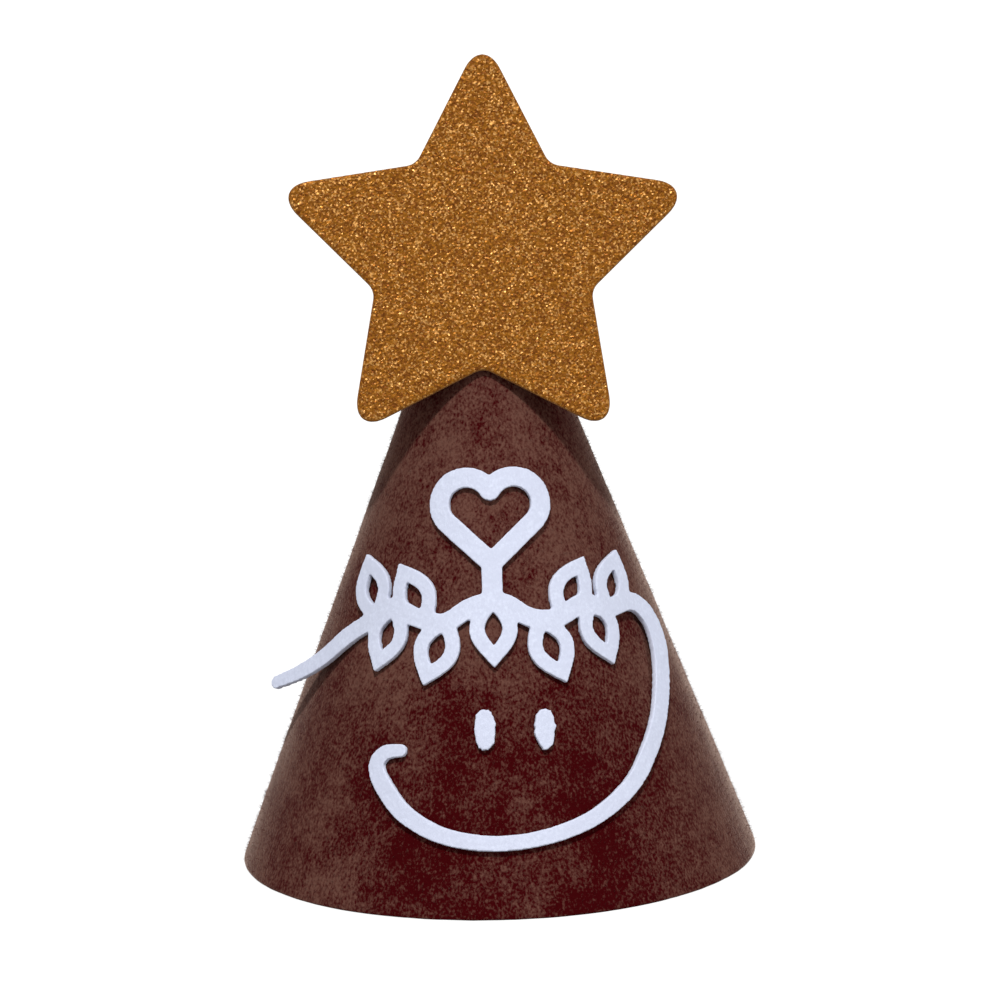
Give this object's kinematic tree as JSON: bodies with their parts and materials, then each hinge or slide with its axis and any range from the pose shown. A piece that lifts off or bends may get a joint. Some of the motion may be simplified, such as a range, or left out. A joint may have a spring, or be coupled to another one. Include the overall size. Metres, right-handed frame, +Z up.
{
  "type": "party hat",
  "caption": "Cone party hat of rolled brown felt, with a glitter star at its tip and a white felt cut-out of a heart, a leafy vine and a smiling face on its front.",
  "frame": {"origin": "centre of the cone's rim, in the flat plane that the hat stands on", "axes": "+Z up the cone's axis to the tip, -Y out of the front that carries the star and the smile, +X to the right of a person who looks at the front"},
  "size_m": [0.13, 0.1318, 0.203],
  "materials": {
    "brown_felt": "pressed wool felt, dark red brown with taupe fibres",
    "gold_glitter": "foam sheet faced with gold glitter",
    "hot_glue": "set hot-melt glue",
    "white_felt": "pressed felt, cool white"
  },
  "bodies": {
    "root": {"felt_cone": "brown_felt", "glitter_star": "gold_glitter", "star_glue": "hot_glue", "white_cutout": "white_felt", "left_eye": "white_felt", "right_eye": "white_felt"}
  },
  "joints": []
}
